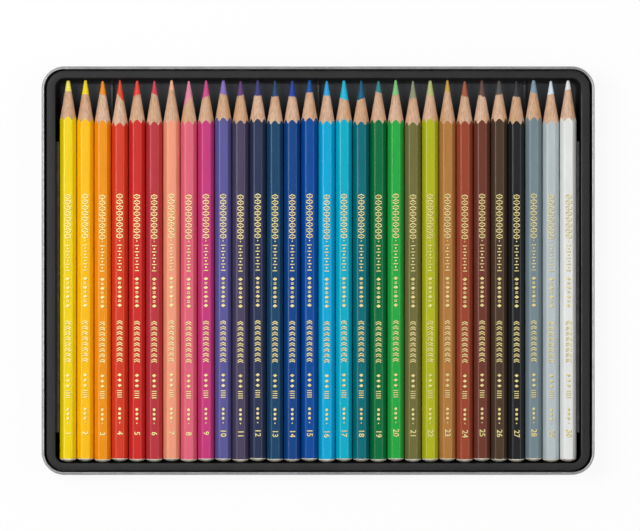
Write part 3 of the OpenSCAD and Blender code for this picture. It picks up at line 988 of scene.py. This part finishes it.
def makePencil(node, index, colourName):
    lacquer, core = (linear(*colour) for colour in colours[colourName])
    verts, faces, slots, sharp, floats = pencilSurface(pencil["firstSeed"] + index, *pointWork[index])
    low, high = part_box(node)
    place = np.array([(low.x + high.x) / 2, low.y, (low.z + high.z) / 2]) / mm
    marks = [ornaments, numberPrisms(str(index + 1))]
    # the foil, and under it the same marks a little aside in darkened lacquer, as painted shade for the
    # edge of the pressed dent
    aside = np.array([pencil["dentShadeSide"], -pencil["dentShadeDown"], -pencil["dentShadeSink"]])
    allVerts = [verts]
    allFaces = list(faces)
    allSlots = [slots]
    shift = len(verts)
    for slot, move in ((foilSlot, 0), (dentShadeSlot, aside)):
        for markVerts, markFaces in marks:
            allVerts.append(markVerts + move)
            allFaces += [[shift + v for v in face] for face in markFaces]
            allSlots.append(np.full(len(markFaces), slot))
            shift += len(markVerts)
    blank = np.zeros(shift - len(verts), int)
    allSharp = np.concatenate([sharp, blank])
    allFloats = {key: np.concatenate([value, blank]) for key, value in floats.items()}
    materials = [
        creamCap, makeLacquer("lacquer_" + colourName, lacquer), cedarWood,
        makeCore("core_" + colourName, core), goldFoil,
        # lacquer darkened, as painted shade of the dent's edge
        makeLacquer("paintedDentShade_" + colourName, scaled(lacquer, pencil["dentShadeFactor"])),
    ]
    piece = makePiece(
        "dressed_" + node, np.concatenate(allVerts) + place, allFaces, materials,
        np.concatenate(allSlots), allSharp, allFloats)
    smooth = np.arange(len(allFaces)) < len(faces)
    piece.data.polygons.foreach_set("use_smooth", smooth)
    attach(piece, node)
    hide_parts(node)


for index, colourName in enumerate(colours):
    makePencil("pencil_%02d_%s" % (index + 1, colourName), index, colourName)
print("pencils made:", len(colours))


stage = {
    "floorSize": 6.0, "floorDrop": 0.1,                  # metres, and millimetres under the tin
    "floorColour": (0.9, 0.9, 0.9, 1.0), "floorGlow": 0.9,
    "horizon": 0.75, "overhead": 0.16,
    "cameraHeight": 2.4, "fieldWidth": 0.293, "lookX": 0.00085, "lookY": 0.00235,
    "sensor": 36.0,
}
# place, side of the square, power
lamps = {
    "keySoftbox": ((-0.6, 0.2, 1.05), 0.65, 10.2),
    "fillSoftbox": ((0.85, -0.05, 0.9), 0.8, 4.2),
}


def makeFloor():
    # White where the camera or a reflection sees it, with part of its own shaded colour kept
    half = stage["floorSize"] / 2 / mm
    low = -stage["floorDrop"]
    verts = [[-half, -half, low], [half, -half, low], [half, half, low], [-half, half, low]]
    material = bpy.data.materials.new("floorWhite")
    material.use_nodes = True
    tree = material.node_tree
    tree.nodes.remove(tree.nodes["Principled BSDF"])
    output = tree.nodes["Material Output"]
    plain = addNode(tree, "BsdfDiffuse", {"Color": stage["floorColour"]})
    glow = addNode(tree, "Emission", {"Color": (1, 1, 1, 1), "Strength": 1.0})
    rays = addNode(tree, "LightPath")
    seen = (rays, "Is Camera Ray")
    for ray in ("Is Glossy Ray", "Is Transmission Ray"):
        either = addNode(tree, "Math", operation="MAXIMUM")
        wire(tree, *seen, either, 0)
        wire(tree, rays, ray, either, 1)
        seen = (either, "Value")
    part = addNode(tree, "Math", {1: stage["floorGlow"]}, operation="MULTIPLY")
    wire(tree, *seen, part, 0)
    mix = addNode(tree, "MixShader")
    wire(tree, part, "Value", mix, 0)
    wire(tree, plain, 0, mix, 1)
    wire(tree, glow, 0, mix, 2)
    wire(tree, mix, 0, output, "Surface")
    floor = makePiece("floor", verts, [[0, 1, 2, 3]], [material])


def makeWorld():
    # A pale horizon under a dim ceiling, and plain white for the camera
    world = bpy.data.worlds.new("studio")
    bpy.context.scene.world = world
    world.use_nodes = True
    tree = world.node_tree
    sky = tree.nodes["Background"]
    place = addNode(tree, "TexCoord")
    parts = addNode(tree, "SeparateXYZ")
    wire(tree, place, "Generated", parts, "Vector")
    light = addNode(tree, "MapRange", {
        "From Min": 0.0, "From Max": 0.9, "To Min": stage["horizon"], "To Max": stage["overhead"]})
    wire(tree, parts, "Z", light, "Value")
    rays = addNode(tree, "LightPath")
    strength = addNode(tree, "Mix", {3: 1.0}, data_type="FLOAT")
    wire(tree, rays, "Is Camera Ray", strength, 0)
    wire(tree, light, "Result", strength, 2)
    wire(tree, strength, 0, sky, "Strength")
    sky.inputs["Color"].default_value = (1, 1, 1, 1)


def makeLamp(name, place, size, power):
    light = bpy.data.lights.new(name, "AREA")
    light.shape = "RECTANGLE"
    light.size = size
    light.size_y = size
    light.energy = power
    lamp = bpy.data.objects.new(name, light)
    bpy.context.scene.collection.objects.link(lamp)
    lamp.location = place
    towardsTin = -lamp.location
    lamp.rotation_euler = towardsTin.to_track_quat("-Z", "Y").to_euler()


def makeCamera():
    camera = bpy.data.cameras.new("topView")
    camera.sensor_fit = "HORIZONTAL"
    camera.sensor_width = stage["sensor"]
    camera.lens = stage["sensor"] * stage["cameraHeight"] / stage["fieldWidth"]
    camera.clip_start = 0.05
    camera.clip_end = 20.0
    holder = bpy.data.objects.new("topView", camera)
    bpy.context.scene.collection.objects.link(holder)
    holder.location = (stage["lookX"], stage["lookY"], stage["cameraHeight"] + tin["rimZ"] * mm)
    bpy.context.scene.camera = holder


makeFloor()
makeWorld()
for name, lamp in lamps.items():
    makeLamp(name, *lamp)
makeCamera()
bpy.context.scene.view_settings.view_transform = "Standard"
print("stage ready")
